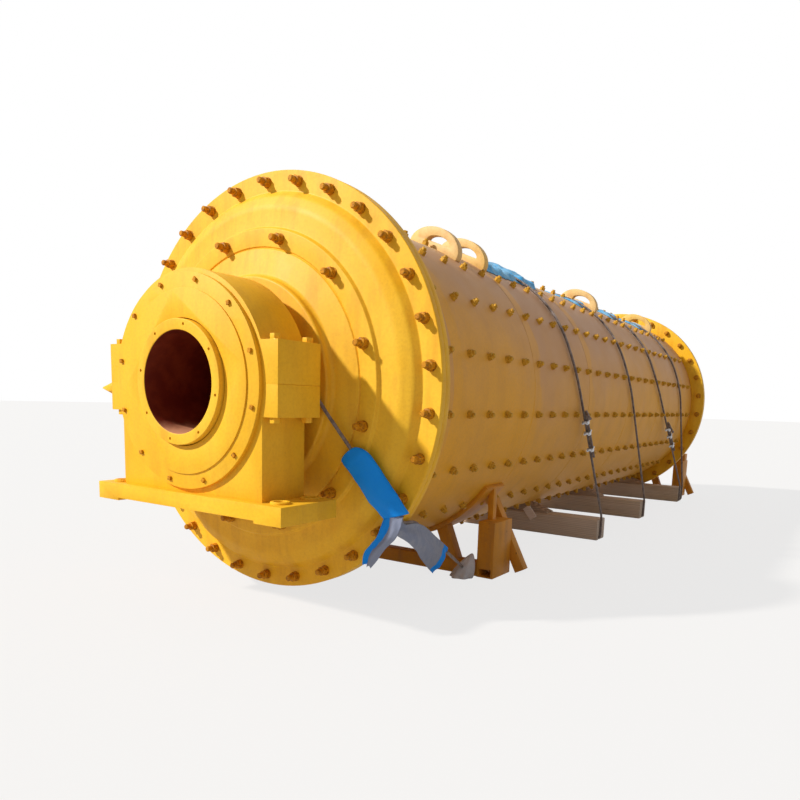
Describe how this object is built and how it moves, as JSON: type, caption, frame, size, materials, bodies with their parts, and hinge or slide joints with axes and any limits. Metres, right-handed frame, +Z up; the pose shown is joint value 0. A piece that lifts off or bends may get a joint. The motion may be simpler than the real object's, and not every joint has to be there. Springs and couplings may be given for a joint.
{
  "type": "tube ball mill drum with trunnion bearings",
  "caption": "Long cylindrical grinding mill drum with flanged cast heads, hollow trunnions and pillow bearings, roped down on timbers and steel stands for transport.",
  "frame": {"origin": "on the ground under the middle of the drum, midway between its two trunnion end faces", "axes": "+Y along the drum from the pictured end to the other, +X to the right seen from the pictured end, +Z up"},
  "size_m": [2.74, 9.21, 2.8104],
  "materials": {
    "shell_paint": "faded matt paint",
    "head_paint": "matt paint over cast steel",
    "bearing_paint": "matt paint over cast iron",
    "cover_paint": "matt paint",
    "stand_paint": "matt paint, scuffed",
    "timber_wood": "rough sawn, weathered",
    "chock_wood": "rough sawn",
    "wire_rope": "greased wire strands",
    "blue_cloth": "woven sheeting",
    "grey_cloth": "dusty cloth",
    "stud_steel": "rust-tinted steel"
  },
  "bodies": {
    "drum_on_stands": {"shell_tube": "shell_paint", "near_shell_flange": "head_paint", "far_shell_flange": "head_paint", "near_head": "head_paint", "far_head": "head_paint", "lifting_lug_1": "shell_paint", "lifting_lug_2": "shell_paint", "lifting_lug_3": "shell_paint", "lifting_lug_4": "shell_paint", "timber_1": "timber_wood", "timber_2": "timber_wood", "timber_3": "timber_wood", "timber_chocks": "chock_wood", "near_saddle_band": "stand_paint", "near_saddle_legs": "stand_paint", "near_saddle_braces": "stand_paint", "near_saddle_struts": "stand_paint", "near_saddle_sill": "stand_paint", "far_trestle_beam": "stand_paint", "far_trestle_legs": "stand_paint", "far_trestle_braces": "stand_paint", "far_trestle_struts": "stand_paint", "far_trestle_sill": "stand_paint", "lashing_rope_1": "wire_rope", "lashing_rope_2": "wire_rope", "lashing_rope_3": "wire_rope", "lashing_rope_4": "wire_rope", "rope_pads": "blue_cloth", "sling_rope": "wire_rope", "sling_sleeve": "blue_cloth", "sling_tails": "grey_cloth", "rag_bundle": "grey_cloth", "far_base_plate": "bearing_paint", "far_lower_housing": "bearing_paint", "far_housing_cap": "bearing_paint", "far_end_ring": "cover_paint", "far_end_cover": "cover_paint", "far_ear_studs": "stud_steel"},
    "near_bearing": {"near_base_plate": "bearing_paint", "near_lower_housing": "bearing_paint", "near_housing_cap": "bearing_paint", "near_end_ring": "cover_paint", "near_end_cover": "cover_paint", "near_ear_studs": "stud_steel", "near_oil_fitting": "stud_steel"}
  },
  "joints": [
    {"name": "near_bearing_turn", "type": "hinge", "parent": "drum_on_stands", "child": "near_bearing", "pos_m": [0, -4.357, 1.44], "axis": [0, 1, 0], "continuous": true}
  ]
}
